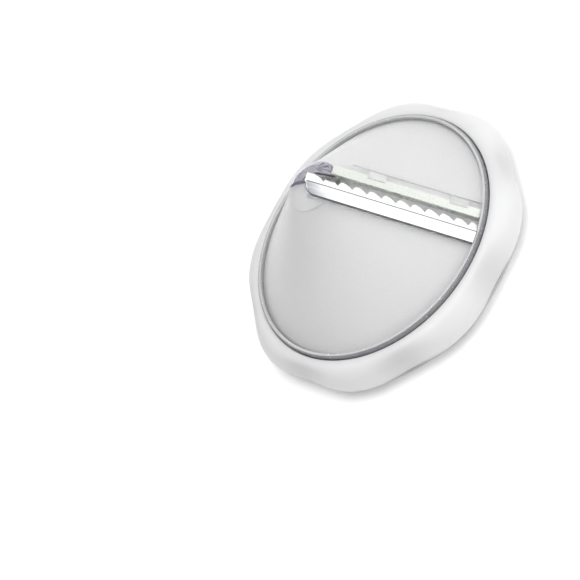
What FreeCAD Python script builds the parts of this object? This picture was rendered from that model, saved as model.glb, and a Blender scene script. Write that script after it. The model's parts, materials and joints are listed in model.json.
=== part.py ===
import FreeCAD, Part
import math
import os

import Sketcher
from FreeCAD import Placement, Rotation, Vector

# Hand held conical spiral cutter.
# Frame: +Z runs up the axis towards the hub, the ring stands on z = 0, and the
# slot in the cone opens along +X.  Millimetres and degrees throughout.

doc = FreeCAD.newDocument("conical_spiral_cutter")
sheet = doc.addObject("Spreadsheet::Sheet", "Dims")

DIMENSIONS = [
    # grip ring: a lobed torus, cut flat below
    ("crest_radius", 47.1, "ring outside radius on a lobe crest"),
    ("lobe_depth", 1.75, "how far a valley lies inside the crest"),
    ("lobe_count", 8, "lobes round the ring"),
    ("lobe_turn", 7.0, "turn of the first crest from +X"),
    ("section_radius", 5.45, "radius of the ring's round section"),
    ("section_height", 5.05, "height of the section's centre"),
    ("opening_radius", 40.1, "front opening of the ring"),
    ("parting_height", 0.8, "joint between shell and cover"),
    ("ledge_top", 4.7, "top of the cover's spigot, which carries the lugs"),
    ("spigot_play", 0.06, "play of the cover's spigot in the shell"),
    ("snap_height", 3.05, "middle of the snap ridge"),
    ("snap_depth", 0.24, "how far the snap ridge stands out"),
    ("parting_gap", 0.1, "half gap of that joint"),
    ("chamber_radius", 42.9, "chamber that the lugs turn in"),
    ("shoulder_height", 8.9, "underside of the front lip"),
    ("cover_bore", 41.3, "rear opening of the cover"),
    ("gasket_inner", 40.3, "seat gasket"),
    ("gasket_outer", 42.8, "seat gasket"),
    ("gasket_bottom", 8.4, "seat gasket"),
    # twist lock
    ("lug_count", 3, "lugs and entry notches"),
    ("lug_width", 40.0, "angle of a lug"),
    ("lug_middle", 45.0, "lug at rest, from +X"),
    ("lug_radius", 42.6, "outside of a lug"),
    ("lug_bottom", 5.0, "underside of a lug"),
    ("lug_top", 6.8, "top of a lug"),
    ("notch_width", 48.0, "angle of an entry notch"),
    ("stop_start", 65.5, "stop block, first angle"),
    ("stop_end", 95.5, "stop block, last angle"),
    ("stop_inner", 41.5, "stop block, inner radius"),
    ("stop_outer", 42.7, "stop block, outer radius"),
    ("stop_top", 6.9, "top of a stop block"),
    # carrier of the cutting cone
    ("throat_radius", 37.0, "bore that the food enters"),
    ("carrier_radius", 40.9, "outside of the carrier"),
    ("carrier_bottom", 0.6, "rear face of the carrier"),
    ("carrier_top", 8.25, "seat face of the carrier"),
    ("spigot_radius", 39.1, "spigot under the cone's foot"),
    ("spigot_top", 8.8, "top of the spigot"),
    ("groove_inner", 38.35, "coring groove, inner radius"),
    ("groove_outer", 39.65, "coring groove, outer radius"),
    ("groove_top", 6.6, "coring groove, top"),
    ("rib_count", 24, "ribs in the groove"),
    ("rib_width", 0.9, "width of a rib"),
    ("rib_bottom", 1.8, "lower end of a rib"),
    ("lead_in", 0.9, "chamfer of the throat"),
    # cone
    ("apex_height", 46.56, "where the cone's outer surface would meet the axis"),
    ("cone_slope", 1.0623, "radius gained per height"),
    ("cone_wall", 1.8, "wall, square to the surface"),
    ("foot_bottom", 9.2, "underside of the cone's foot"),
    ("foot_top", 10.0, "top of the cone's foot"),
    ("cone_cut", 38.98, "height at which the cone is cut off"),
    ("ramp_shift", 1.35, "sideways shift of the relief before the slot"),
    # bezel bead
    ("bead_inner", 38.6, "inside of the bead"),
    ("bead_outer", 39.8, "outside of the bead"),
    ("bead_top", 11.65, "top of the bead"),
    ("bead_leg", 0.65, "thickness of the bead's leg"),
    # slot, in the plane that lies on the cone along the slot
    ("slot_start", 2.4, "inner end of the slot, from the axis"),
    ("slot_length", 52.3, "outer end of the slot, from the apex"),
    ("slot_low", -1.65, "edge under the comb"),
    ("slot_high", 3.7, "edge under the slicing blade"),
    ("hub_slot_high", 2.5, "edge of the slot through the hub"),
    ("rail_low", -5.4, "far side of the comb's rail"),
    ("rail_top", 0.5, "top of the comb's rail"),
    ("seat_rear", 7.95, "rear wall of the blade recess"),
    ("seat_floor", -1.3, "floor of the blade recess"),
    ("seat_rim", -0.8, "top of the rim behind the recess"),
    ("seat_start", 8.0, "inner end of the blade seat"),
    # comb and clamp
    ("sheet_comb", 0.4, "comb sheet"),
    ("comb_edge", -1.4, "bend line of the comb"),
    ("comb_rear", -5.2, "rear edge of the comb"),
    ("comb_bend", 27.7, "bend of the toothed strip"),
    ("comb_depth", 3.45, "bend line to tooth tips"),
    ("comb_start", 2.5, "inner end of the comb"),
    ("comb_end", 54.5, "outer end of the comb before trimming"),
    ("tooth_end", 52.1, "outer end of the toothed strip"),
    ("tooth_pitch", 4.2, "tooth pitch"),
    ("notch_count", 12, "notches between the teeth"),
    ("notch_depth", 2.05, "depth of a notch"),
    ("first_notch", 7.5, "bottom of the first notch"),
    ("flank_run", 3.0, "run of the gentle flank"),
    ("flank_radius", 4.6, "radius of the gentle flank"),
    ("face_run", 0.45, "run of the steep face"),
    ("tip_run", 0.75, "run of the rounded shoulder"),
    ("tip_drop", 0.75, "drop of the rounded shoulder"),
    ("tip_radius", 0.9, "radius of the rounded shoulder"),
    ("clamp_start", 3.0, "inner end of the clamp"),
    ("clamp_low", -5.55, "far edge of the clamp"),
    ("clamp_high", -1.5, "near edge of the clamp"),
    ("clamp_sheet", 0.8, "thickness of the clamp"),
    ("clamp_corner", 3.3, "radius of the clamp's inner corner"),
    ("clamp_edge", 0.36, "rounding of the clamp's top edges"),
    ("trim_radius", 38.56, "comb and clamp end at this radius"),
    ("rivet_first", 12.6, "first clamp rivet"),
    ("rivet_pitch", 16.0, "rivet pitch"),
    ("rivet_line", -3.45, "rivet line"),
    ("rivet_radius", 0.9, "rivet shank"),
    ("rivet_head", 1.6, "rivet head radius"),
    ("head_top", -0.5, "rivet head, seat"),
    ("head_thick", 0.5, "rivet head, thickness"),
    # slicing blade
    ("blade_start", 9.0, "inner end of the blade"),
    ("blade_end", 52.1, "outer end before trimming"),
    ("blade_trim", 38.2, "the blade ends at this radius"),
    ("clip_width", 5.2, "width of a blade clip"),
    ("clip_first", 19.0, "inner clip"),
    ("clip_second", 42.9, "outer clip"),
    # hub
    ("dome_radius", 8.0, "radius of the dome's foot"),
    ("dome_foot", 39.03, "height of the dome's foot"),
    ("dome_sphere", 10.7, "radius of the dome's surface"),
    ("dome_centre", 32.5, "height of the dome's centre"),
    ("low_sphere", 15.06, "radius of the hub's low half, before the clamp"),
    ("low_centre", 26.84, "height of that half's centre"),
    ("low_side", -0.15, "step between the two halves, across the slot"),
    ("dome_wall", 1.5, "wall of the hub's low half"),
    ("dome_inner", 5.45, "bore of the dome's foot"),
    ("boss_radius", 2.4, "boss in the dome"),
    ("flute_radius", 0.9, "flute tool radius"),
    ("flute_rise", 0.68, "flute tool centre above the dome"),
    ("flute_x", 2.6, "where the flutes meet on the dome"),
    ("flute_y", 4.2, "where the flutes meet on the dome"),
    ("arm_turn", 188.0, "direction of the arm under the dome"),
    ("arm_width", 1.9, "width of the arm"),
    ("arm_end", 6.6, "outer end of the arm"),
    ("arm_thick", 1.1, "thickness of the arm"),
    ("pin_radius", 0.9, "centring pin"),
    ("pin_taper", 35.0, "where the pin starts to taper"),
    ("pin_tip", 31.5, "point of the centring pin"),
    ("ferrule_radius", 1.6, "ferrule round the pin"),
    ("ferrule_bottom", 37.6, "ferrule, lower end"),
    ("ferrule_top", 40.5, "ferrule, upper end"),
]
for row, (alias, value, note) in enumerate(DIMENSIONS, start=1):
    sheet.set("A%d" % row, note)
    sheet.set("B%d" % row, str(value))
    sheet.setAlias("B%d" % row, alias)
doc.recompute()


class Dim:
    """A size that carries both its value and the expression it is bound with."""

    def __init__(self, value, text):
        self.v, self.t = float(value), text

    @staticmethod
    def of(x):
        return x if isinstance(x, Dim) else Dim(x, repr(float(x)))

    def __add__(self, o):
        o = Dim.of(o)
        return Dim(self.v + o.v, "(%s + %s)" % (self.t, o.t))

    __radd__ = __add__

    def __sub__(self, o):
        o = Dim.of(o)
        return Dim(self.v - o.v, "(%s - %s)" % (self.t, o.t))

    def __rsub__(self, o):
        return Dim.of(o) - self

    def __mul__(self, o):
        o = Dim.of(o)
        return Dim(self.v * o.v, "(%s * %s)" % (self.t, o.t))

    __rmul__ = __mul__

    def __truediv__(self, o):
        o = Dim.of(o)
        return Dim(self.v / o.v, "(%s / %s)" % (self.t, o.t))

    def __rtruediv__(self, o):
        return Dim.of(o) / self

    def __neg__(self):
        return Dim(-self.v, "(0 - %s)" % self.t)


def d(alias):
    return Dim(sheet.get(alias), "Dims." + alias)


def cosd(a):
    a = Dim.of(a)
    return Dim(math.cos(math.radians(a.v)), "cos(%s * 1 deg)" % a.t)


def sind(a):
    a = Dim.of(a)
    return Dim(math.sin(math.radians(a.v)), "sin(%s * 1 deg)" % a.t)


def polar(r, a):
    return (Dim.of(r) * cosd(a), Dim.of(r) * sind(a))


# --------------------------------------------------------------- sketches

def new_body(name):
    return doc.addObject("PartDesign::Body", name)


def origin_plane(body, role):
    return [f for f in body.Origin.OriginFeatures if f.Role == role][0]


def sketch(body, role, loop, name, offset=None):
    """Closed sketch on an origin plane.  loop holds (x, y) corners; a third
    entry (radius, side) makes the edge to the next corner an arc whose centre
    lies left (+1) or right (-1) of the way."""
    sk = body.newObject("Sketcher::SketchObject", name)
    sk.AttachmentSupport = [(origin_plane(body, role), "")]
    sk.MapMode = "FlatFace"
    if offset is not None:
        off = Dim.of(offset)
        sk.AttachmentOffset = Placement(Vector(0, 0, off.v), Rotation())
        sk.setExpression(".AttachmentOffset.Base.z", off.t)
    corners = [(Dim.of(p[0]), Dim.of(p[1])) for p in loop]
    ends = []
    for i, p in enumerate(loop):
        a, b = corners[i], corners[(i + 1) % len(loop)]
        pa, pb = Vector(a[0].v, a[1].v, 0), Vector(b[0].v, b[1].v, 0)
        if len(p) > 2:
            rad, side = Dim.of(p[2][0]), p[2][1]
            half = (pb - pa) * 0.5
            rise = math.sqrt(max(rad.v ** 2 - half.Length ** 2, 0.0))
            left = Vector(-half.y, half.x, 0)
            left.normalize()
            c = pa + half + left * (rise * side)
            first, last = (pa, pb) if side > 0 else (pb, pa)
            a0 = math.atan2(first.y - c.y, first.x - c.x)
            a1 = math.atan2(last.y - c.y, last.x - c.x)
            if a1 < a0:
                a1 += 2 * math.pi
            g = sk.addGeometry(Part.ArcOfCircle(Part.Circle(c, Vector(0, 0, 1), rad.v), a0, a1), False)
            ends.append((g, 1, 2, rad) if side > 0 else (g, 2, 1, rad))
        else:
            g = sk.addGeometry(Part.LineSegment(pa, pb), False)
            ends.append((g, 1, 2, None))
    n = len(ends)
    for i in range(n):
        g, _, e, _ = ends[i]
        h, s, _, _ = ends[(i + 1) % n]
        sk.addConstraint(Sketcher.Constraint("Coincident", g, e, h, s))
    for i in range(n):
        g, s, _, rad = ends[i]
        for kind, dim in (("DistanceX", corners[i][0]), ("DistanceY", corners[i][1])):
            k = sk.addConstraint(Sketcher.Constraint(kind, -1, 1, g, s, dim.v))
            sk.setExpression("Constraints[%d]" % k, dim.t)
        if rad is not None:
            k = sk.addConstraint(Sketcher.Constraint("Radius", g, rad.v))
            sk.setExpression("Constraints[%d]" % k, rad.t)
    return sk


def revolve(name, loop):
    """Body turned about Z from a closed (radius, height) profile."""
    body = new_body(name)
    sk = sketch(body, "XZ_Plane", loop, name + "_profile")
    rev = body.newObject("PartDesign::Revolution", name + "_turned")
    rev.Profile = sk
    rev.ReferenceAxis = (sk, ["V_Axis"])
    rev.Angle = 360
    body.Tip = rev
    return body


def pad(body, role, loop, length, name, offset=None, reverse=False):
    sk = sketch(body, role, loop, name + "_outline", offset)
    ft = body.newObject("PartDesign::Pad", name)
    ft.Profile = sk
    length = Dim.of(length)
    ft.Length = length.v
    ft.setExpression("Length", length.t)
    ft.Reversed = reverse
    body.Tip = ft
    return ft


def pocket(body, role, loop, length, name, offset=None, reverse=False):
    sk = sketch(body, role, loop, name + "_outline", offset)
    ft = body.newObject("PartDesign::Pocket", name)
    ft.Profile = sk
    length = Dim.of(length)
    ft.Length = length.v
    ft.setExpression("Length", length.t)
    ft.Reversed = reverse
    body.Tip = ft
    return ft


def around(body, feature, count, name):
    pat = body.newObject("PartDesign::PolarPattern", name)
    pat.Originals = [feature]
    pat.Axis = (feature.Profile[0], ["N_Axis"])
    pat.Angle = 360
    pat.Occurrences = int(Dim.of(count).v)
    pat.setExpression("Occurrences", Dim.of(count).t)
    body.Tip = pat
    return pat


def sector(r0, r1, a0, a1):
    """Corners of an annular sector between two radii and two angles."""
    return [
        polar(r0, a0),
        polar(r1, a0) + ((r1, 1),),
        polar(r1, a1),
        polar(r0, a1) + ((r0, -1),),
    ]


def cylinder(name, radius, height, bottom=0.0, frame=None):
    obj = doc.addObject("Part::Cylinder", name)
    for prop, dim in (("Radius", Dim.of(radius)), ("Height", Dim.of(height))):
        setattr(obj, prop, dim.v)
        obj.setExpression(prop, dim.t)
    if frame is None:
        obj.Placement = Placement(Vector(0, 0, Dim.of(bottom).v), Rotation())
        obj.setExpression(".Placement.Base.z", Dim.of(bottom).t)
    else:
        obj.Placement = frame
    return obj


def box(name, lo, hi):
    obj = doc.addObject("Part::Box", name)
    for prop, a, b in zip(("Length", "Width", "Height"), lo, hi):
        dim = Dim.of(b) - Dim.of(a)
        setattr(obj, prop, dim.v)
        obj.setExpression(prop, dim.t)
    obj.Placement = Placement(Vector(*[Dim.of(a).v for a in lo]), Rotation())
    for axis, a in zip("xyz", lo):
        obj.setExpression(".Placement.Base." + axis, Dim.of(a).t)
    return obj


def cut(name, base, tool):
    obj = doc.addObject("Part::Cut", name)
    obj.Base, obj.Tool = base, tool
    return obj


def common(name, base, tool):
    obj = doc.addObject("Part::Common", name)
    obj.Base, obj.Tool = base, tool
    return obj


def fuse(name, shapes):
    obj = doc.addObject("Part::MultiFuse", name)
    obj.Shapes = shapes
    return obj


def group(name, members):
    obj = doc.addObject("Part::Compound", name)
    obj.Links = members
    return obj


# ------------------------------------------------ the frame along the slot
# Local x runs down the cone from the apex, local y across the slot and local
# z out of the surface.

LEAN = 90.0 - math.degrees(math.atan(d("cone_slope").v))


def on_cone(obj):
    obj.Placement = Placement(Vector(0, 0, d("apex_height").v), Rotation(Vector(0, 1, 0), LEAN))
    obj.setExpression(".Placement.Base.z", "Dims.apex_height")
    obj.setExpression(".Placement.Rotation.Angle", "90 deg - atan(Dims.cone_slope)")
    return obj


def cone_frame(u, v, e):
    local = Placement(Vector(u, v, e), Rotation())
    return Placement(Vector(0, 0, d("apex_height").v), Rotation(Vector(0, 1, 0), LEAN)) * local


def along_slot(name, loop, start, length):
    """Prism along the slot from a (across, out) section."""
    body = new_body(name)
    pad(body, "YZ_Plane", loop, length, name + "_run", offset=start)
    return on_cone(body)


SLOPE = d("cone_slope")
APEX = d("apex_height")
SIN = Dim(math.sin(math.atan(SLOPE.v)), "sin(atan(Dims.cone_slope))")
COS = Dim(math.cos(math.atan(SLOPE.v)), "cos(atan(Dims.cone_slope))")
WALL_FLAT = d("cone_wall") / COS          # wall measured along a radius


def cone_r(height):
    return (APEX - Dim.of(height)) * SLOPE


def cone_z(radius):
    return APEX - Dim.of(radius) / SLOPE


# ================================================================ grip ring
# Lobed blank: a periodic spline skin closed by two flat faces.

def lobed_blank():
    crest, depth = d("crest_radius").v, d("lobe_depth").v
    count, turn = int(d("lobe_count").v), math.radians(d("lobe_turn").v)
    rho, zc = d("section_radius").v, d("section_height").v
    rc = crest - rho
    top = math.acos((d("opening_radius").v - rc) / rho)
    low = -math.asin(zc / rho)
    rows, cols = 26, 128
    grid = []
    for k in range(cols):
        th = 2 * math.pi * k / cols
        lobe = abs(math.sin(count / 2.0 * (th - turn))) ** 2.6
        line = []
        for j in range(rows + 1):
            t = top + (low - top) * j / rows
            w = min(max((math.radians(100) - t) / math.radians(75), 0.0), 1.0)
            w = w * w * (3 - 2 * w)
            f = min(max((t - low) / math.radians(20), 0.0), 1.0)   # the foot circle is round
            w *= f * f * (3 - 2 * f)
            r = rc + rho * math.cos(t) - depth * w * lobe
            z = zc + rho * math.sin(t)
            if j == rows:
                z = 0.0
            line.append(Vector(r * math.cos(th), r * math.sin(th), z))
        grid.append(line)
    skin = Part.BSplineSurface()
    n_v = rows + 1
    knots_v = list(range(n_v - 2))
    mults_v = [4] + [1] * (n_v - 4) + [4]
    knots_u = list(range(cols + 1))
    mults_u = [1] * (cols + 1)
    skin.buildFromPolesMultsKnots(grid, mults_u, mults_v, knots_u, knots_v, True, False, 3, 3)
    side = skin.toShape()
    rims = [e for e in side.Edges if abs(e.BoundBox.ZLength) < 1e-6]
    caps = [Part.Face(Part.Wire(e)) for e in rims]
    shell = Part.Shell([side] + caps)
    shell.sewShape()
    solid = Part.Solid(shell)
    if solid.Volume < 0:
        solid.reverse()
    return solid


blank = doc.addObject("Part::Feature", "ring_blank")
blank.Shape = lobed_blank()
blank.Placement = Placement(Vector(0, 0, 0), Rotation())

PART_LINE, GAP = d("parting_height"), d("parting_gap") / 2
BORE, SNAP, RIDGE = d("chamber_radius"), d("snap_height"), d("snap_depth")
shell_tool = revolve("shell_tool", [
    (0, -2), (60, -2), (60, PART_LINE + GAP), (BORE, PART_LINE + GAP),
    (BORE, SNAP - 0.5), (BORE + RIDGE, SNAP - 0.2), (BORE + RIDGE, SNAP + 0.25), (BORE, SNAP + 0.5),
    (BORE, d("shoulder_height")), (d("opening_radius") + 0.02, d("shoulder_height")),
    (d("opening_radius") + 0.02, 14), (0, 14)])
grip_shell = cut("grip_shell", blank, shell_tool)

cover_tool = revolve("cover_tool", [
    (0, -2), (d("cover_bore"), -2), (d("cover_bore"), PART_LINE - GAP), (60, PART_LINE - GAP),
    (60, 14), (0, 14)])
SPIGOT = BORE - d("spigot_play")
cover_spigot = revolve("cover_spigot", [
    (d("cover_bore"), 0.2), (SPIGOT, 0.2), (SPIGOT, SNAP - 0.45), (SPIGOT + RIDGE - 0.04, SNAP - 0.17),
    (SPIGOT + RIDGE - 0.04, SNAP + 0.2), (SPIGOT, SNAP + 0.45), (SPIGOT, d("ledge_top") - 0.3),
    (SPIGOT - 0.3, d("ledge_top")), (d("cover_bore"), d("ledge_top"))])
notches = new_body("entry_notches")
nt = pad(notches, "XY_Plane", sector(d("cover_bore") - 2, BORE + 0.3, d("notch_width") / -2, d("notch_width") / 2),
         d("ledge_top") + 5, "entry_notch", offset=-2)
around(notches, nt, d("lug_count"), "entry_notch_ring")
rim_keep = revolve("rim_keep", [
    (d("cover_bore") - 3, -3), (BORE, -3), (BORE, PART_LINE), (BORE + 1, PART_LINE), (BORE + 1, 9), (d("cover_bore") - 3, 9)])
stops = new_body("stop_blocks")
st = pad(stops, "XY_Plane", sector(d("stop_inner"), d("stop_outer"), d("stop_start"), d("stop_end")),
         d("stop_top") - d("ledge_top") + 0.5, "stop_block", offset=d("ledge_top") - 0.5)
around(stops, st, d("lug_count"), "stop_block_ring")
rear_cover = fuse("rear_cover", [
    cut("cover_notched", fuse("cover_whole", [cut("cover_open", blank, cover_tool), cover_spigot]),
        common("notch_field", notches, rim_keep)), stops])

seat_gasket = revolve("seat_gasket", [
    (d("gasket_inner"), d("gasket_bottom")), (d("gasket_outer"), d("gasket_bottom")),
    (d("gasket_outer"), d("shoulder_height") - 0.01), (d("gasket_inner"), d("shoulder_height") - 0.01)])

# ================================================================== carrier
carrier = revolve("carrier_ring", [
    (d("throat_radius") + d("lead_in"), d("carrier_bottom")), (d("carrier_radius") - 0.35, d("carrier_bottom")),
    (d("carrier_radius"), d("carrier_bottom") + 0.35), (d("carrier_radius"), d("carrier_top")),
    (d("spigot_radius"), d("carrier_top")), (d("spigot_radius"), d("spigot_top")),
    (d("throat_radius"), d("spigot_top")), (d("throat_radius"), d("carrier_bottom") + d("lead_in"))])
cg = carrier.newObject("PartDesign::Groove", "coring_groove")
cg.Profile = sketch(carrier, "XZ_Plane", [
    (d("groove_inner"), -1), (d("groove_outer"), -1), (d("groove_outer"), d("groove_top")),
    (d("groove_inner"), d("groove_top"))], "coring_groove_profile")
cg.ReferenceAxis = (cg.Profile[0], ["V_Axis"])
cg.Angle = 360
carrier.Tip = cg
rb = pad(carrier, "XY_Plane", [
    (d("groove_inner") - 0.3, d("rib_width") / -2), (d("groove_outer") + 0.3, d("rib_width") / -2),
    (d("groove_outer") + 0.3, d("rib_width") / 2), (d("groove_inner") - 0.3, d("rib_width") / 2)],
    d("groove_top") - d("rib_bottom") + 0.2, "groove_rib", offset=d("rib_bottom"))
around(carrier, rb, d("rib_count"), "groove_rib_ring")
lg = pad(carrier, "XY_Plane", sector(d("carrier_radius") - 0.6, d("lug_radius"),
                                     d("lug_middle") - d("lug_width") / 2, d("lug_middle") + d("lug_width") / 2),
         d("lug_top") - d("lug_bottom"), "lock_lug", offset=d("lug_bottom"))
around(carrier, lg, d("lug_count"), "lock_lug_ring")

cone_gasket = revolve("cone_gasket", [
    (d("throat_radius") + 0.25, d("spigot_top")), (d("spigot_radius") - 0.15, d("spigot_top")),
    (d("spigot_radius") - 0.15, d("foot_bottom")), (d("throat_radius") + 0.25, d("foot_bottom"))])

# ===================================================================== cone
cone_wall = revolve("cone_wall", [
    (cone_r(d("foot_bottom")) - WALL_FLAT, d("foot_bottom")), (d("spigot_radius"), d("foot_bottom")),
    (d("spigot_radius"), d("foot_top")), (cone_r(d("foot_top")), d("foot_top")),
    (cone_r(d("cone_cut")), d("cone_cut")), (cone_r(d("cone_cut")) - WALL_FLAT, d("cone_cut"))])


def cavity(name, inset):
    """The hollow inside the wall, shrunk by inset along a radius."""
    inset = Dim.of(inset)
    foot = cone_r(d("foot_bottom")) - WALL_FLAT - inset
    return revolve(name, [
        (0, 0), (foot, 0), (foot, d("foot_bottom")),
        (cone_r(d("cone_cut")) - WALL_FLAT - inset, d("cone_cut")), (0, d("cone_cut"))])


V0, V1 = d("slot_low"), d("slot_high")
rail = cut("comb_rail", along_slot("comb_rail_run", [
    (d("rail_low"), -9), (V0, -9), (V0, d("rail_top")), (d("rail_low"), d("rail_top"))],
    d("clamp_start") + 0.1, d("slot_length") - d("clamp_start") + 0.4), cavity("hollow_a", 0))
# blade seat: a block beside the slot, narrower next to the hub
seat_block = new_body("blade_seat_block")
pad(seat_block, "XY_Plane", [
    (d("seat_start"), V1 - 0.5), (d("slot_length") + 0.4, V1 - 0.5), (d("slot_length") + 0.4, d("seat_rear") + 0.8),
    (d("seat_start") + 9, d("seat_rear") + 0.8), (d("seat_start"), 6.35)], d("seat_rim") + 7, "seat_block_run", offset=-7)
seat = cut("blade_seat", on_cone(seat_block), cavity("hollow_b", 1.3))
slot_reach = box("slot_reach", (d("slot_start"), -30, 0), (60, 30, 60))
slot_prism = common("slot_prism", along_slot("slot_run", [
    (V0, -12), (V1, -12), (V1, 6), (V0, 6)], 0, d("slot_length")), slot_reach)
# the recess leaves a sloping land under the blade and a lower floor behind it
recess = along_slot("recess_run", [
    (V1 - 0.6, -2.346), (6.24, -0.85), (6.24, d("seat_floor")), (d("seat_rear"), d("seat_floor")),
    (d("seat_rear"), 7), (V1 - 0.6, 7)], d("seat_start") - 0.5, d("slot_length") - d("seat_start") + 0.5)
relief_field = box("relief_field", (d("slot_start"), -60, 10.8), (60, V0, 60))
relief_hollow = cavity("relief_hollow", 0)
relief_hollow.Placement = Placement(Vector(d("ramp_shift").v, 0, 0), Rotation())
relief_hollow.setExpression(".Placement.Base.x", "Dims.ramp_shift")
relief = common("relief", relief_hollow, relief_field)

rivet_spots = []
for i in range(3):
    rivet_spots.append(d("rivet_first").v + i * d("rivet_pitch").v)
rivet_holes, shanks, heads = [], [], []
for i, u in enumerate(rivet_spots):
    v = d("rivet_line").v
    rivet_holes.append(cylinder("rivet_hole_%d" % i, d("rivet_radius") + 0.05, 6, frame=cone_frame(u, v, -3)))
    rivet_holes.append(cylinder("head_recess_%d" % i, d("rivet_head") + 0.1, 8, frame=cone_frame(u, v, d("head_top").v - 8)))
    shanks.append(cylinder("rivet_shank_%d" % i, d("rivet_radius"), d("rail_top") + d("sheet_comb") - d("head_top"),
                           frame=cone_frame(u, v, d("head_top").v)))
    heads.append(cylinder("rivet_head_%d" % i, d("rivet_head"), d("head_thick"),
                          frame=cone_frame(u, v, d("head_top").v - d("head_thick").v)))
    shanks[-1].setExpression(".Placement.Base.y", "Dims.rivet_line")
    heads[-1].setExpression(".Placement.Base.y", "Dims.rivet_line")

raised_field = cylinder("raised_field", d("bead_inner") - 0.04, 40, d("foot_bottom"))
cone_raised = fuse("cone_raised", [cone_wall, common("raised_parts", fuse("rail_and_seat", [rail, seat]), raised_field)])
cone_tools = fuse("cone_tools", [slot_prism, recess, relief])
top_trim = box("top_trim", (-20, -20, d("cone_cut")), (20, 20, 60))
hub_clear = common("hub_clear", top_trim, revolve("hub_clear_disc", [
    (0, d("cone_cut")), (d("dome_radius") + 0.15, d("cone_cut")), (d("dome_radius") + 0.15, 60), (0, 60)]))
cutting_cone = cut("cutting_cone", cut("cone_slotted", cut("cone_topped", cone_raised, hub_clear), cone_tools),
                   group("rivet_openings", rivet_holes))

bezel = revolve("bezel_ring", [
    (d("bead_outer") - d("bead_leg"), d("carrier_top") + 0.1), (d("bead_outer"), d("carrier_top") + 0.1),
    (d("bead_outer"), d("bead_top") - 0.55, (0.55, 1)), (d("bead_outer") - 0.55, d("bead_top")),
    (d("bead_inner") + 0.3, d("bead_top"), (0.3, 1)), (d("bead_inner"), d("bead_top") - 0.3),
    (d("bead_inner"), cone_z(d("bead_inner")) + 0.02), (cone_r(d("foot_top")) + 0.03, d("foot_top") + 0.01),
    (d("bead_outer") - d("bead_leg"), d("foot_top") + 0.01)])

# =========================================================== comb and clamp
trim = cylinder("trim_cylinder", d("trim_radius"), 60, 0)
comb_flat = new_body("comb_flat")
pad(comb_flat, "XY_Plane", [
    (d("comb_start") + 2.75, d("comb_rear")), (d("comb_end"), d("comb_rear")),
    (d("comb_end"), d("comb_edge")), (d("comb_start"), d("comb_edge")), (d("comb_start") + 0.7, d("comb_rear") + 2.9),
    (d("comb_start") + 1.7, d("comb_rear") + 0.75)],
    d("sheet_comb"), "comb_sheet", offset=d("rail_top"))
on_cone(comb_flat)
comb_teeth = new_body("comb_teeth")
pad(comb_teeth, "XY_Plane", [
    (d("comb_start"), 0), (d("tooth_end"), 0), (d("tooth_end"), d("comb_depth")), (d("comb_start"), d("comb_depth"))],
    d("sheet_comb"), "tooth_strip", reverse=True)
u1, tipy, rooty = d("first_notch"), d("comb_depth"), d("comb_depth") - d("notch_depth")
nk = pocket(comb_teeth, "XY_Plane", [
    (u1, rooty),
    (u1 + d("face_run"), tipy - d("tip_drop"), (d("tip_radius"), -1)),
    (u1 + d("face_run") + d("tip_run"), tipy),
    (u1 + d("face_run") + d("tip_run"), tipy + 1.0),
    (u1 - d("flank_run"), tipy + 1.0),
    (u1 - d("flank_run"), tipy, (d("flank_radius"), -1))],
    3, "tooth_notch")
nk.Midplane = True
lin = comb_teeth.newObject("PartDesign::LinearPattern", "tooth_notch_row")
lin.Originals = [nk]
lin.Direction = (nk.Profile[0], ["H_Axis"])
run = (d("notch_count") - 1) * d("tooth_pitch")
lin.Length = run.v
lin.setExpression("Length", run.t)
lin.Occurrences = int(d("notch_count").v)
lin.setExpression("Occurrences", "Dims.notch_count")
comb_teeth.Tip = lin
comb_teeth.Placement = cone_frame(0, d("comb_edge").v, d("rail_top").v + d("sheet_comb").v) * \
    Placement(Vector(0, 0, 0), Rotation(Vector(1, 0, 0), -d("comb_bend").v))
comb_whole = common("comb_trimmed", fuse("comb_bent", [comb_flat, comb_teeth]), trim)
comb_blade = cut("comb_blade", comb_whole, group("comb_openings", [
    cylinder("comb_hole_%d" % i, d("rivet_radius") + 0.05, 2, frame=cone_frame(u, d("rivet_line").v, 0))
    for i, u in enumerate(rivet_spots)]))

clamp_bar = new_body("clamp_bar")
CR = d("clamp_corner")
cl = pad(clamp_bar, "XY_Plane", [
    (d("clamp_start") + CR, d("clamp_low")), (d("comb_end"), d("clamp_low")), (d("comb_end"), d("clamp_high")),
    (d("clamp_start"), d("clamp_high")), (d("clamp_start"), d("clamp_low") + CR, (CR, 1))],
    d("clamp_sheet"), "clamp_plate", offset=d("rail_top") + d("sheet_comb"))
doc.recompute()
lid = d("rail_top").v + d("sheet_comb").v + d("clamp_sheet").v
names = ["Edge%d" % (i + 1) for i, e in enumerate(cl.Shape.Edges)
         if all(abs(v.Z - lid) < 1e-6 for v in e.Vertexes) and abs(e.BoundBox.ZLength) < 1e-6]
fl = clamp_bar.newObject("PartDesign::Fillet", "clamp_edges")
fl.Base = (cl, names)
fl.Radius = d("clamp_edge").v
fl.setExpression("Radius", "Dims.clamp_edge")
clamp_bar.Tip = fl
on_cone(clamp_bar)
# the clamp ends square to its own sheet, above the bead
clamp_trim = revolve("clamp_trim", [
    (0, 0), (d("trim_radius"), 0), (d("trim_radius"), 11.5), (d("trim_radius") + 47.9, 62.4), (0, 62.4)])
comb_clamp = common("comb_clamp", clamp_bar, clamp_trim)

clamp_rivets = group("clamp_rivets", [fuse("rivet_%d" % i, [a, b]) for i, (a, b) in enumerate(zip(shanks, heads))])

# =========================================================== slicing blade
blade_trim = cylinder("blade_trim_cylinder", d("blade_trim"), 60, 0)
slicing_blade = common("slicing_blade", along_slot("blade_run", [
    (3.065, -2.35), (6.215, -0.85), (6.0, -0.4), (3.816, -1.4385)],
    d("blade_start"), d("blade_end") - d("blade_start")), blade_trim)

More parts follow.
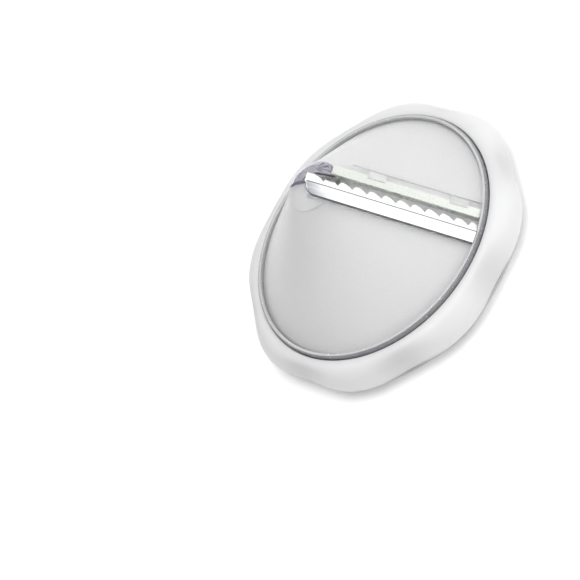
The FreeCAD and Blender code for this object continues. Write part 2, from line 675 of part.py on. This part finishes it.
CLIP = [(6.27, d("seat_floor")), (7.75, d("seat_floor")), (7.75, -0.75), (7.1, 0.02), (5.75, 0.02),
        (5.2, -0.3), (5.2, -0.74), (6.02, -0.35), (6.27, -0.42)]
blade_clips = group("blade_clips", [
    along_slot("clip_inner", CLIP, d("clip_first"), d("clip_width")),
    along_slot("clip_outer", CLIP, d("clip_second"), d("clip_width"))])

# ====================================================================== hub
S0, ZC = d("dome_sphere"), d("dome_centre")


def on_sphere(radius, r):
    r, radius = Dim.of(r), Dim.of(radius)
    return Dim(ZC.v + math.sqrt(radius.v ** 2 - r.v ** 2), "(Dims.dome_centre + sqrt(pow(%s; 2) - pow(%s; 2)))" % (radius.t, r.t))


S1, Z1 = d("low_sphere"), d("low_centre")
SI = S1 - d("dome_wall")


def inside_sphere(r):
    r = Dim.of(r)
    return Dim(Z1.v + math.sqrt(SI.v ** 2 - r.v ** 2), "(Dims.low_centre + sqrt(pow(%s; 2) - pow(%s; 2)))" % (SI.t, r.t))


foot_z = d("dome_foot")
dome = revolve("dome_solid", [
    (d("dome_inner"), foot_z), (d("dome_radius"), foot_z),
    (d("dome_radius"), on_sphere(S0, d("dome_radius")), (S0, 1)), (0, ZC + S0),
    (0, foot_z + 2.0), (d("pin_radius") + 0.02, foot_z + 2.0),
    (d("pin_radius") + 0.02, d("ferrule_top")), (d("ferrule_radius") + 0.02, d("ferrule_top")),
    (d("ferrule_radius") + 0.02, foot_z - 0.75), (d("boss_radius"), foot_z - 0.75),
    (d("boss_radius"), inside_sphere(d("boss_radius")), (SI, -1)),
    (d("dome_inner"), inside_sphere(d("dome_inner")))])
# grooves along great circles that meet at one point beside the slot
meet = Vector(d("flute_x").v, d("flute_y").v, math.sqrt(S0.v ** 2 - d("flute_x").v ** 2 - d("flute_y").v ** 2))
flutes = []
for i, turn in enumerate((0, 38, 82, 138)):
    t = doc.addObject("Part::Torus", "flute_%d" % i)
    t.Radius1 = (S0 + d("flute_rise")).v
    t.setExpression("Radius1", (S0 + d("flute_rise")).t)
    t.Radius2 = d("flute_radius").v
    t.setExpression("Radius2", "Dims.flute_radius")
    heading = Vector(math.cos(math.radians(turn)), math.sin(math.radians(turn)), 0)
    t.Placement = Placement(Vector(0, 0, ZC.v), Rotation(Vector(0, 0, 1), heading.cross(meet)))
    t.setExpression(".Placement.Base.z", "Dims.dome_centre")
    flutes.append(t)
flute_side = new_body("flute_side")
pad(flute_side, "XY_Plane", [
    (d("flute_x") + p[0], d("flute_y") + p[1]) for p in (
        (0.74 * 20 - 0.67 * 0.55, -0.67 * 20 - 0.74 * 0.55), (0.74 * 20 + 0.67 * 20, -0.67 * 20 + 0.74 * 20),
        (-0.74 * 20 + 0.67 * 20, 0.67 * 20 + 0.74 * 20), (-0.74 * 20 - 0.67 * 0.55, 0.67 * 20 - 0.74 * 0.55))],
    20, "flute_side_run", offset=foot_z + 1.1)
flute_field = common("flute_field", flute_side, box("flute_room", (-20, 0.4, foot_z + 1.1), (20, 20, 60)))
hub_slot = common("hub_slot", along_slot("hub_slot_run", [
    (V0, -12), (d("hub_slot_high"), -12), (d("hub_slot_high"), 6), (V0, 6)], 0, 30), slot_reach)
# nose on the dome that carries the inner end of the comb
nose_run = along_slot("nose_run", [
    (d("rail_low") + 0.45, -2.6), (V0, -2.6), (V0, d("rail_top")), (d("rail_low") + 0.45, d("rail_top"))],
    d("clamp_start") + 1.4, 14)
nose_field = cylinder("nose_field", d("dome_radius"), 20, foot_z)
hub_hollow = revolve("hub_hollow", [
    (0, 30), (d("dome_inner"), 30), (d("dome_inner"), inside_sphere(d("dome_inner")), (SI, 1)), (0, Z1 + SI)])
low_keep = doc.addObject("Part::Sphere", "low_keep")
low_keep.Radius = S1.v
low_keep.setExpression("Radius", S1.t)
low_keep.Placement = Placement(Vector(0, 0, Z1.v), Rotation())
low_keep.setExpression(".Placement.Base.z", "Dims.low_centre")
low_cut = cut("low_cut", box("low_field", (-20, -20, foot_z + 0.2), (20, d("low_side"), 60)), low_keep)
nose = cut("nose", common("nose_trimmed", nose_run, nose_field), hub_hollow)
# arm of the centring pin, let into the foot of the dome
ARM = d("arm_width") / 2


def turned_bar(name, inner, outer, half, low, high):
    body = new_body(name)
    pad(body, "XY_Plane", [(inner, -half), (outer, -half), (outer, half), (inner, half)], high - low, name + "_run", offset=low)
    body.Placement = Placement(Vector(0, 0, 0), Rotation(Vector(0, 0, 1), d("arm_turn").v))
    body.setExpression(".Placement.Rotation.Angle", "Dims.arm_turn * 1 deg")
    return body


arm_slot = turned_bar("arm_slot", Dim.of(0), d("arm_end") + 0.03, ARM + 0.03, foot_z - 2, foot_z + d("arm_thick") + 0.03)
flute_cut = common("flute_cut", fuse("flute_star", flutes), flute_field)
dome_whole = fuse("dome_whole", [cut("dome_stepped", cut("dome_fluted", dome, flute_cut), low_cut), nose])
blade_clear = along_slot("blade_clear", [(2.9, -2.6), (6.35, -0.95), (6.35, 1.5), (2.9, 1.5)], d("blade_start") - 0.1, 12)
hub_dome = cut("hub_dome", dome_whole, fuse("dome_tools", [hub_slot, arm_slot, blade_clear]))
spike_arm = cut("spike_arm", turned_bar("arm_bar", Dim.of(0), d("arm_end"), ARM, foot_z + 0.01, foot_z + d("arm_thick")),
                cylinder("arm_clear", d("ferrule_radius") + 0.02, 30, 30))

pin_ferrule = revolve("pin_ferrule", [
    (d("pin_radius") + 0.01, d("ferrule_bottom")), (d("ferrule_radius") - 0.3, d("ferrule_bottom")),
    (d("ferrule_radius"), d("ferrule_bottom") + 0.3), (d("ferrule_radius"), d("ferrule_top")),
    (d("pin_radius") + 0.01, d("ferrule_top"))])
spike_pin = revolve("spike_pin", [
    (0, d("pin_tip")), (0.12, d("pin_tip") + 0.1), (d("pin_radius"), d("pin_taper")),
    (d("pin_radius"), foot_z + 1.98), (0, foot_z + 1.98)])

NODES = [
    grip_shell, rear_cover, seat_gasket, carrier, cone_gasket, cutting_cone, bezel,
    comb_blade, comb_clamp, clamp_rivets, slicing_blade, blade_clips,
    hub_dome, spike_arm, pin_ferrule, spike_pin,
]

doc.recompute()
bad = [o.Label for o in doc.Objects if "Invalid" in o.State or "Error" in o.State]
if bad:
    raise SystemExit("not recomputed: " + ", ".join(bad))
os.makedirs("parts", exist_ok=True)
for node in NODES:
    shape = node.Shape
    if shape.isNull() or not shape.isValid():
        raise SystemExit("bad shape: " + node.Label)
for node in NODES:
    shape = node.Shape
    box_ = shape.BoundBox
    print("%-14s solids %2d  volume %9.2f  z %6.2f..%6.2f  r %5.2f" % (
        node.Label, len(shape.Solids), shape.Volume, box_.ZMin, box_.ZMax, box_.XMax))
    shape.exportStep(os.path.join("parts", node.Label + ".step"))
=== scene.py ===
import json
import math

import bmesh
import bpy
from mathutils import Matrix, Vector


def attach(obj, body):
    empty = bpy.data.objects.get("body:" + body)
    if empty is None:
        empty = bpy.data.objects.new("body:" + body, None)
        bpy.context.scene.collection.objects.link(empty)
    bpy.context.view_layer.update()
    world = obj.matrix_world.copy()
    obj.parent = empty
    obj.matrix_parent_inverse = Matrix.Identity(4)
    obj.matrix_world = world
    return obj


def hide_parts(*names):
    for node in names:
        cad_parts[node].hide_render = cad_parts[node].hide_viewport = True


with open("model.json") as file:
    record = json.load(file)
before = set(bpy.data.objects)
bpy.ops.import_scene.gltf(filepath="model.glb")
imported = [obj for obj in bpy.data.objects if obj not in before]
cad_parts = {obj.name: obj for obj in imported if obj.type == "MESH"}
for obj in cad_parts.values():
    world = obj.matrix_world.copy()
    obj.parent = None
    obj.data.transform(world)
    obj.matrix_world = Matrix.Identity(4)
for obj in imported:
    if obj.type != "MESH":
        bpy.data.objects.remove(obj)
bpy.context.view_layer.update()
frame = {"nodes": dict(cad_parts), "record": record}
MM = 0.001


# ---------------------------------------------------------------- materials

class Tree:
    """Short hand for building a node material."""

    def __init__(self, name):
        self.mat = bpy.data.materials.new(name)
        self.mat.use_nodes = True
        self.nt = self.mat.node_tree
        self.nt.nodes.clear()
        self.out = self.nt.nodes.new("ShaderNodeOutputMaterial")
        self.bsdf = self.nt.nodes.new("ShaderNodeBsdfPrincipled")
        self.link(self.bsdf.outputs[0], self.out.inputs[0])
        self.coord = self.nt.nodes.new("ShaderNodeTexCoord").outputs["Object"]

    def link(self, a, b):
        self.nt.links.new(a, b)

    def set(self, **values):
        for key, value in values.items():
            self.bsdf.inputs[key.replace("_", " ")].default_value = value

    def node(self, kind, **props):
        n = self.nt.nodes.new(kind)
        for k, v in props.items():
            setattr(n, k, v)
        return n

    def mapped(self, scale=(1, 1, 1), rotation=(0, 0, 0), source=None):
        m = self.node("ShaderNodeMapping")
        m.inputs["Scale"].default_value = scale
        m.inputs["Rotation"].default_value = rotation
        self.link(source or self.coord, m.inputs["Vector"])
        return m.outputs[0]

    def noise(self, scale, detail=2.0, roughness=0.5, distortion=0.0, vector=None):
        n = self.node("ShaderNodeTexNoise")
        n.inputs["Scale"].default_value = scale
        n.inputs["Detail"].default_value = detail
        n.inputs["Roughness"].default_value = roughness
        n.inputs["Distortion"].default_value = distortion
        self.link(vector or self.coord, n.inputs["Vector"])
        return n.outputs["Fac"]

    def ramp(self, fac, stops, interpolation="LINEAR"):
        r = self.node("ShaderNodeValToRGB")
        r.color_ramp.interpolation = interpolation
        e = r.color_ramp.elements
        while len(e) < len(stops):
            e.new(0.5)
        for el, (pos, col) in zip(e, stops):
            el.position = pos
            el.color = (*col, 1) if len(col) == 3 else col
        self.link(fac, r.inputs[0])
        return r.outputs[0]

    def remap(self, fac, lo, hi, a=0.0, b=1.0):
        m = self.node("ShaderNodeMapRange")
        m.inputs["From Min"].default_value = a
        m.inputs["From Max"].default_value = b
        m.inputs["To Min"].default_value = lo
        m.inputs["To Max"].default_value = hi
        self.link(fac, m.inputs["Value"])
        return m.outputs[0]

    def math(self, op, a, b):
        m = self.node("ShaderNodeMath", operation=op)
        for i, x in enumerate((a, b)):
            if isinstance(x, (int, float)):
                m.inputs[i].default_value = x
            else:
                self.link(x, m.inputs[i])
        return m.outputs[0]

    def mix(self, fac, a, b, kind="RGBA"):
        m = self.node("ShaderNodeMix", data_type=kind)
        i, o = (6, 2) if kind == "RGBA" else (2, 0)
        self.link(fac, m.inputs[0])
        self.link(a, m.inputs[i])
        self.link(b, m.inputs[i + 1])
        return m.outputs[o]

    def bump(self, height, strength, distance, normal=None):
        b = self.node("ShaderNodeBump")
        b.inputs["Strength"].default_value = strength
        b.inputs["Distance"].default_value = distance
        self.link(height, b.inputs["Height"])
        if normal:
            self.link(normal, b.inputs["Normal"])
        return b.outputs[0]

    def to(self, socket, out):
        self.link(out, self.bsdf.inputs[socket])


def frosted_white():
    t = Tree("frosted_white_plastic")
    cloud = t.noise(38, 3, 0.55)
    grain = t.noise(2600, 2, 0.6)
    white = t.ramp(cloud, [(0.3, (0.65, 0.65, 0.655)), (0.7, (0.685, 0.685, 0.687))])
    # painted shade: a deeper grey for the outer half of each lobe valley of the ring
    painted_valley_shade = t.ramp(cloud, [(0.3, (0.46, 0.46, 0.466)), (0.7, (0.51, 0.51, 0.513))])
    part = t.node("ShaderNodeSeparateXYZ")
    t.link(t.coord, part.inputs[0])
    x, y = part.outputs["X"], part.outputs["Y"]
    wave = t.math("SINE", t.math("MULTIPLY", t.math("SUBTRACT", t.math("ARCTAN2", y, x), math.radians(7.0)), 4.0), 0.0)
    valley = t.math("POWER", t.math("ABSOLUTE", wave, 0.0), 5.0)
    reach = t.math("SQRT", t.math("ADD", t.math("MULTIPLY", x, x), t.math("MULTIPLY", y, y)), 0.0)
    outside = t.remap(reach, 0.0, 1.0, 0.0408, 0.0440)
    # the lobe valleys on the outside are painted with shade
    t.to("Base Color", t.mix(t.math("MULTIPLY", t.math("MULTIPLY", valley, outside), 0.5), white, painted_valley_shade))
    t.to("Roughness", t.remap(t.math("ADD", t.math("MULTIPLY", grain, 0.5), t.math("MULTIPLY", cloud, 0.5)), 0.30, 0.44))
    t.to("Normal", t.bump(grain, 0.05, 0.00004))
    t.set(IOR=1.5)
    t.bsdf.inputs["Subsurface Weight"].default_value = 0.35
    t.bsdf.inputs["Subsurface Radius"].default_value = (0.004, 0.0038, 0.0036)
    t.bsdf.inputs["Subsurface Scale"].default_value = 1.0
    return t.mat


def clear_frosted():
    t = Tree("frosted_clear_plastic")
    grain = t.noise(3000, 2, 0.6)
    cloud = t.noise(60, 3, 0.5)
    dull = t.ramp(cloud, [(0.3, (0.93, 0.93, 0.94)), (0.7, (0.95, 0.95, 0.955))])
    clear = t.ramp(cloud, [(0.3, (0.99, 0.99, 0.995)), (0.7, (1.0, 1.0, 1.0))])
    t.to("Base Color", t.mix(t.remap(grain, 0.0, 1.0, 0.38, 0.58), dull, clear))
    t.to("Roughness", t.remap(grain, 0.29, 0.47, 0.3, 0.7))
    t.to("Normal", t.bump(grain, 0.12, 0.00007))
    t.set(IOR=1.42)
    t.bsdf.inputs["Transmission Weight"].default_value = 0.62
    return t.mat


def clear_dome():
    """Polished on the high half, frosted like the cone on the low half, with painted shade along the top of its slot
    wall, in its flute grooves and where the high half drops to the low half.
    """
    t = Tree("clear_hub_plastic")
    flow = t.noise(420, 2, 0.5)
    grain = t.noise(3000, 2, 0.6)
    part = t.node("ShaderNodeSeparateXYZ")
    t.link(t.coord, part.inputs[0])
    low = t.remap(part.outputs["Y"], 1.0, 0.0, -0.0006, -0.0002)
    high_col = t.ramp(flow, [(0.3, (0.80, 0.79, 0.87)), (0.7, (0.90, 0.89, 0.945))])
    low_col = t.ramp(grain, [(0.3, (0.955, 0.955, 0.965)), (0.7, (0.985, 0.985, 0.99))])
    span = t.node("ShaderNodeVectorMath", operation="DISTANCE")
    span.inputs[1].default_value = (0.0, 0.0, 0.0325)
    t.link(t.coord, span.inputs[0])
    # painted shade: an almost black line along the top of the slot wall on the high half
    wall = t.math("MULTIPLY", t.remap(part.outputs["Y"], 0.0, 1.0, 0.00242, 0.00246), t.remap(part.outputs["Y"], 1.0, 0.0, 0.00254, 0.00258))
    painted_slot_shade = t.math("MULTIPLY", wall, t.remap(span.outputs["Value"], 0.0, 1.0, 0.0094, 0.0096))
    # painted shade in the flute grooves of the high half
    painted_groove_shade = t.math("MULTIPLY", t.remap(span.outputs["Value"], 0.0, 1.0, 0.01038, 0.01042), t.remap(span.outputs["Value"], 0.85, 0.0, 0.01052, 0.01063))
    high_col = t.mix(painted_groove_shade, high_col, t.ramp(flow, [(0.3, (0.26, 0.245, 0.32)), (0.7, (0.40, 0.385, 0.46))]))
    # painted shade: a deep violet band where the high half drops to the low half
    painted_step_shade = t.math("MULTIPLY", t.remap(part.outputs["Y"], 0.0, 1.0, -0.00022, -0.00018), t.remap(part.outputs["Y"], 1.0, 0.0, -0.00012, -0.00008))
    colour = t.mix(painted_step_shade, t.mix(low, high_col, low_col), t.ramp(flow, [(0.3, (0.19, 0.155, 0.27)), (0.7, (0.27, 0.225, 0.37))]))
    t.to("Base Color", t.mix(painted_slot_shade, colour, t.ramp(flow, [(0.3, (0.02, 0.018, 0.025)), (0.7, (0.04, 0.036, 0.048))])))
    t.to("Roughness", t.mix(low, t.remap(flow, 0.03, 0.12), t.remap(grain, 0.36, 0.48, 0.3, 0.7), "FLOAT"))
    fine = t.math("MULTIPLY", grain, low)
    t.to("Normal", t.bump(fine, 0.03, 0.00007, t.bump(flow, 0.06, 0.0002)))
    t.set(IOR=1.49)
    # transmission is lowered where the slot-wall and drop shade is painted
    t.to("Transmission Weight", t.math("MULTIPLY", t.remap(low, 0.9, 0.6), t.remap(t.math("MAXIMUM", painted_slot_shade, painted_step_shade), 1.0, 0.15)))
    return t.mat


def clear_grey():
    t = Tree("clear_grey_plastic")
    grain = t.noise(1500, 3, 0.6)
    part = t.node("ShaderNodeSeparateXYZ")
    t.link(t.coord, part.inputs[0])
    x, y = part.outputs["X"], part.outputs["Y"]
    reach = t.math("SQRT", t.math("ADD", t.math("MULTIPLY", x, x), t.math("MULTIPLY", y, y)), 0.0)
    light = t.ramp(grain, [(0.3, (0.88, 0.88, 0.89)), (0.7, (0.95, 0.95, 0.955))])
    # painted shade: a deeper grey on the bead's outer lip, beside the gap to the ring
    painted_gap_shade = t.ramp(grain, [(0.3, (0.33, 0.33, 0.35)), (0.7, (0.44, 0.44, 0.46))])
    t.to("Base Color", t.mix(t.remap(reach, 0.0, 1.0, 0.03932, 0.03952), light, painted_gap_shade))
    t.to("Roughness", t.remap(grain, 0.12, 0.28, 0.3, 0.7))
    t.to("Normal", t.bump(grain, 0.12, 0.00005))
    t.set(IOR=1.5)
    t.bsdf.inputs["Transmission Weight"].default_value = 0.5
    return t.mat


def dark_violet():
    t = Tree("dark_violet_plastic")
    flow = t.noise(500, 3, 0.5)
    t.to("Base Color", t.ramp(flow, [(0.3, (0.03, 0.02, 0.05)), (0.7, (0.06, 0.045, 0.095))]))
    t.to("Roughness", t.remap(flow, 0.2, 0.4))
    return t.mat


def grey_elastomer():
    t = Tree("grey_elastomer")
    grain = t.noise(2200, 3, 0.6)
    t.to("Base Color", t.ramp(grain, [(0.3, (0.36, 0.36, 0.39)), (0.7, (0.44, 0.44, 0.46))]))
    t.to("Roughness", t.remap(grain, 0.6, 0.85))
    t.to("Normal", t.bump(grain, 0.2, 0.00005))
    return t.mat


def steel(name, low, high, scratch, tint_and_reflection, painted_shade_and_reflection=False):
    """Ground or polished sheet; when painted shade and reflection are asked for, it gets painted shade lines along its
    rounded edges and a painted blue-grey reflection at its inner rounded tip.
    """
    t = Tree(name)
    lines = t.noise(2200, 2, 0.5, vector=t.mapped((0.02, 1.0, 1.0), (0, math.radians(43.3), 0)))
    blotch = t.noise(120, 3, 0.5)
    colour = t.ramp(blotch, [(0.3, tuple(c * 0.96 for c in tint_and_reflection)), (0.7, tint_and_reflection)])
    if painted_shade_and_reflection:
        at = t.node("ShaderNodeSeparateXYZ")
        t.link(t.coord, at.inputs[0])
        x, y = at.outputs["X"], at.outputs["Y"]
        on_bar = t.remap(y, 1.0, 0.0, -0.0014, -0.0013)
        # painted reflection: blue-grey streaks over the inner rounded tip of the bar
        painted_tip_reflection = t.math("MULTIPLY", t.remap(t.math("ADD", x, t.math("MULTIPLY", y, 0.6)), 1.0, 0.0, 0.0005, 0.0075), on_bar)
        reflection_streak = t.noise(420, 2, 0.5, vector=t.mapped((0.25, 1.0, 0.25), (0, math.radians(43.3), 0)))
        painted_tip_reflection = t.math("MULTIPLY", painted_tip_reflection, t.remap(reflection_streak, 0.55, 1.0, 0.35, 0.6))
        colour = t.mix(painted_tip_reflection, colour, t.ramp(reflection_streak, [(0.3, (0.13, 0.135, 0.16)), (0.7, (0.22, 0.225, 0.26))]))
        # painted shade: almost black lines along both long rounded edges of the bar
        near = t.math("MULTIPLY", t.remap(y, 0.0, 1.0, -0.00200, -0.00186), on_bar)
        far = t.remap(y, 1.0, 0.0, -0.00535, -0.00522)
        painted_edge_shade = t.math("MULTIPLY", t.math("MAXIMUM", near, far), t.remap(lines, 0.75, 1.0, 0.3, 0.7))
        colour = t.mix(painted_edge_shade, colour, t.ramp(blotch, [(0.3, (0.07, 0.07, 0.08)), (0.7, (0.12, 0.12, 0.13))]))
    t.to("Base Color", colour)
    t.to("Roughness", t.remap(lines, low, high, 0.3, 0.7))
    t.to("Normal", t.bump(lines, scratch, 0.00003))
    t.set(Metallic=1.0)
    return t.mat


MATS = {
    "frosted_white": frosted_white(),
    "clear_frosted": clear_frosted(),
    "clear_dome": clear_dome(),
    "clear_grey": clear_grey(),
    "dark_violet": dark_violet(),
    "grey_elastomer": grey_elastomer(),
    # polished_steel gets painted shade lines along its edges and a painted reflection at its inner tip
    "polished_steel": steel("polished_steel", 0.13, 0.21, 0.02, (0.88, 0.885, 0.89), True),
    # the blade's pale green colour is a painted green reflection over the steel's own grey
    "blade_steel": steel("blade_steel", 0.26, 0.31, 0.004, (0.935, 0.965, 0.91)),
}
slot_of = {s["node"]: s["material_slot"] for s in frame["record"]["subparts"]}
for name, obj in frame["nodes"].items():
    obj.data.materials.clear()
    obj.data.materials.append(MATS[slot_of[name]])


# ----------------------------------------------------------------- geometry

def rounded(points, steps=4):
    """Closed (r, z) loop; a corner given as (r, z, radius) becomes an arc."""
    out, n = [], len(points)
    for i, p3 in enumerate(points):
        p = Vector(p3[:2])
        if len(p3) < 3:
            out.append(p)
            continue
        a, b = Vector(points[i - 1][:2]) - p, Vector(points[(i + 1) % n][:2]) - p
        half = a.angle(b) / 2
        reach = min(p3[2] / math.tan(half), 0.48 * a.length, 0.48 * b.length)
        a, b, w = p + a.normalized() * reach, p + b.normalized() * reach, math.sin(half)
        for k in range(steps + 1):
            t = k / steps
            q = (1 - t) ** 2, 2 * t * (1 - t) * w, t * t
            out.append((a * q[0] + p * q[1] + b * q[2]) / sum(q))
    return out


def new_piece(name, body, slot, verts, faces, replaces, sharp=40):
    me = bpy.data.meshes.new(name)
    me.from_pydata([(x * MM, y * MM, z * MM) for x, y, z in verts], [], faces)
    bm = bmesh.new()
    bm.from_mesh(me)
    bmesh.ops.recalc_face_normals(bm, faces=bm.faces)
    bm.to_mesh(me)
    bm.free()
    me.polygons.foreach_set("use_smooth", [True] * len(me.polygons))
    me.set_sharp_from_angle(angle=math.radians(sharp))
    me.materials.append(MATS[slot])
    obj = bpy.data.objects.new(name, me)
    bpy.context.collection.objects.link(obj)
    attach(obj, body)
    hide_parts(*replaces)
    return obj


def turned(name, body, slot, profile, replaces, segments=256, sharp=40):
    """Closed surface; profile(angle) gives the same number of (r, z) at every angle."""
    verts, faces = [], []
    for k in range(segments):
        a = 2 * math.pi * k / segments
        loop = profile(a)
        m = len(loop)
        verts += [(r * math.cos(a), r * math.sin(a), z) for r, z in loop]
    for k in range(segments):
        i, j = k * m, (k + 1) % segments * m
        faces += [(i + q, i + (q + 1) % m, j + (q + 1) % m, j + q) for q in range(m)]
    return new_piece(name, body, slot, verts, faces, replaces, sharp)


def smoothstep(x):
    x = min(max(x, 0.0), 1.0)
    return x * x * (3 - 2 * x)


CREST, DEPTH, RHO, Z_MID = 47.1, 1.75, 5.45, 5.05


def ring_outside(angle, t):
    """Point (r, z) of the lobed ring's outer skin."""
    lobe = abs(math.sin(4 * (angle - math.radians(7.0)))) ** 2.6
    low = -math.asin(Z_MID / RHO)
    w = smoothstep((math.radians(100) - t) / math.radians(75)) * smoothstep((t - low) / math.radians(20))
    return (CREST - RHO - 0.03 + (RHO - 0.02) * math.cos(t) - DEPTH * w * lobe, Z_MID + (RHO - 0.02) * math.sin(t))


def shell_profile(angle):
    top = math.acos((40.12 - (CREST - RHO - 0.03)) / (RHO - 0.02))
    low = math.asin((0.86 - Z_MID) / (RHO - 0.02))
    n = 34
    skin = [ring_outside(angle, top + (low - top) * (k / n)) for k in range(n + 1)]
    pts = [(*skin[0], 0.28)] + skin[1:-1] + [(*skin[-1], 0.16)]
    pts += [(42.9, 0.86, 0.1), (42.9, 2.55), (43.14, 2.85), (43.14, 3.3), (42.9, 3.55), (42.9, 8.9, 0.15), (40.12, 8.9, 0.12)]
    return rounded(pts)


turned("grip_ring", "holder", "frosted_white", shell_profile, ["grip_shell"], 512)

BEZEL = rounded([
    (39.16, 8.36, 0.08), (39.79, 8.36, 0.08), (39.79, 11.64, 0.52), (38.61, 11.64, 0.3),
    (38.61, 10.25), (38.86, 10.02), (39.16, 10.02)], 7)
turned("bezel_bead", "cartridge", "clear_grey", lambda a: BEZEL, ["bezel_ring"], 320)


def soften(node, width, segments=2, angle=35):
    """Join the split edges of a CAD piece and round them."""
    obj = frame["nodes"][node]
    weld = obj.modifiers.new("join", "WELD")
    weld.merge_threshold = 1e-6
    bev = obj.modifiers.new("round", "BEVEL")
    bev.width = width * MM
    bev.segments = segments
    bev.limit_method = "ANGLE"
    bev.angle_limit = math.radians(angle)
    bev.use_clamp_overlap = True
    bev.harden_normals = True
    bev.miter_outer = "MITER_ARC"


for node, width in (
        ("comb_blade", 0.07), ("slicing_blade", 0.05),
        ("blade_clips", 0.12), ("hub_dome", 0.12), ("rear_cover", 0.15), ("carrier_ring", 0.15), ("spike_arm", 0.12)):
    soften(node, width)

# --------------------------------------------------------------- the setting


def setting():
    me = bpy.data.meshes.new("floor")
    s = 1.6
    me.from_pydata([(-s, -s, 0), (s, -s, 0), (s, s, 0), (-s, s, 0)], [], [(0, 1, 2, 3)])
    floor = bpy.data.objects.new("floor", me)
    bpy.context.collection.objects.link(floor)
    t = Tree("pale_floor")
    g = t.noise(6, 3, 0.5)
    t.to("Base Color", t.ramp(g, [(0.3, (0.985, 0.985, 0.987)), (0.7, (1.0, 1.0, 1.0))]))
    t.set(Roughness=0.9)
    me.materials.append(t.mat)
    world = bpy.data.worlds.new("studio")
    bpy.context.scene.world = world
    world.use_nodes = True
    bg = world.node_tree.nodes["Background"]
    nt = world.node_tree
    where = nt.nodes.new("ShaderNodeTexCoord")
    side = nt.nodes.new("ShaderNodeVectorMath")
    side.operation = "DOT_PRODUCT"
    side.inputs[1].default_value = Vector((0.60, 0.25, 0.75)).normalized()
    nt.links.new(where.outputs["Generated"], side.inputs[0])
    fade = nt.nodes.new("ShaderNodeMapRange")
    fade.interpolation_type = "SMOOTHSTEP"
    fade.inputs["From Min"].default_value = -0.60
    fade.inputs["From Max"].default_value = 0.75
    fade.inputs["To Min"].default_value = 0.20
    fade.inputs["To Max"].default_value = 0.84
    nt.links.new(side.outputs["Value"], fade.inputs["Value"])
    nt.links.new(fade.outputs[0], bg.inputs[1])
    bg.inputs[0].default_value = (1.0, 1.0, 1.0, 1)
    target = Vector((0, 0, 0.02))

    def area(name, at, size, power, size_y=None):
        light = bpy.data.lights.new(name, "AREA")
        light.shape = "RECTANGLE"
        light.size, light.size_y = size, size_y or size
        light.energy = power
        obj = bpy.data.objects.new(name, light)
        obj.location = at
        obj.rotation_euler = (target - Vector(at)).to_track_quat("-Z", "Y").to_euler()
        bpy.context.collection.objects.link(obj)

    area("key_softbox", (0.50, 0.30, 0.62), 0.80, 1.2)
    area("top_softbox", (-0.10, 0.10, 0.85), 0.60, 3.4)
    area("low_strip", (0.12, 0.90, 0.24), 1.00, 0.8, 0.40)
    area("front_fill", (0.88, -0.42, 0.24), 0.60, 1.3)

    cam = bpy.data.cameras.new("camera")
    cam.sensor_width = 36
    cam.lens = 2100 / 580 * 36
    cam.clip_start, cam.clip_end = 0.01, 20
    cam_obj = bpy.data.objects.new("camera", cam)
    m = Matrix(((0.76207, 0.02617, 0.64697, 0.37503),
                (0.27481, 0.89162, -0.35974, -0.23925),
                (-0.5863, 0.452, 0.6723, 0.42536),
                (0, 0, 0, 1)))
    cam_obj.matrix_world = m
    bpy.context.collection.objects.link(cam_obj)
    bpy.context.scene.camera = cam_obj
    bpy.context.scene.view_settings.view_transform = "Standard"
    bpy.context.scene.view_settings.look = "None"
    bpy.context.scene.cycles.max_bounces = 16
    bpy.context.scene.cycles.transmission_bounces = 16
    bpy.context.scene.cycles.use_denoising = True


setting()
